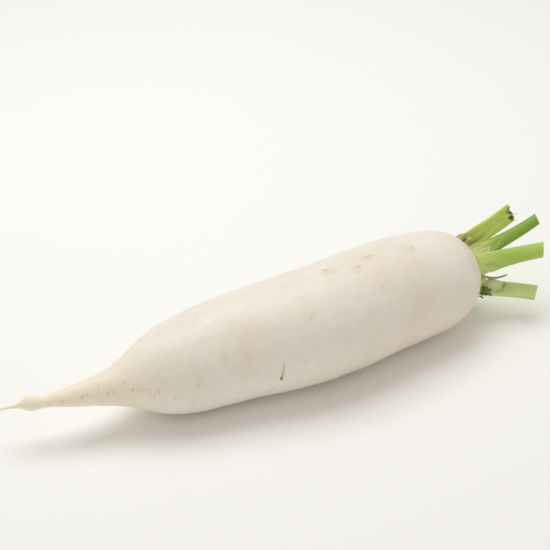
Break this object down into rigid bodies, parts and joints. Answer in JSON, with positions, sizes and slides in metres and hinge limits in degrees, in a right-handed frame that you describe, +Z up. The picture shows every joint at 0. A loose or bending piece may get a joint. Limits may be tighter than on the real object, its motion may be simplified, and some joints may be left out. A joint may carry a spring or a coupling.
{
  "type": "daikon radish",
  "caption": "Long white daikon root lying on its side, gently bowed, drawn out to a thin tail, with a low crown and green leaf stalks cut short.",
  "frame": {"origin": "on the surface the root lies on, in the middle of the narrow flat where the belly beds down", "axes": "+X along the root towards the crown and its stalks, +Z up, so the thin tail lies towards -X and the root's bow bulges towards -Y"},
  "size_m": [0.3954, 0.0828, 0.0762],
  "materials": {
    "root_skin": "satin",
    "crown_stem": "matte",
    "leaf_stalk": "satin",
    "pale_stalk": "satin",
    "leaf_blade": "matte",
    "dry_scale": "matte"
  },
  "bodies": {
    "root": {"taproot": "root_skin", "crown": "crown_stem", "near_leaf_stalk": "leaf_stalk", "upper_leaf_stalk": "leaf_stalk", "far_leaf_stalk": "leaf_stalk", "lower_leaf_stalk": "leaf_stalk", "stalk_stub_1": "pale_stalk", "stalk_stub_2": "pale_stalk", "dry_leaf_base": "dry_scale", "withered_stalk": "dry_scale", "heart_bud": "pale_stalk", "basal_leaflet_1": "leaf_blade", "basal_leaflet_2": "leaf_blade", "dry_scale": "dry_scale"}
  },
  "joints": []
}
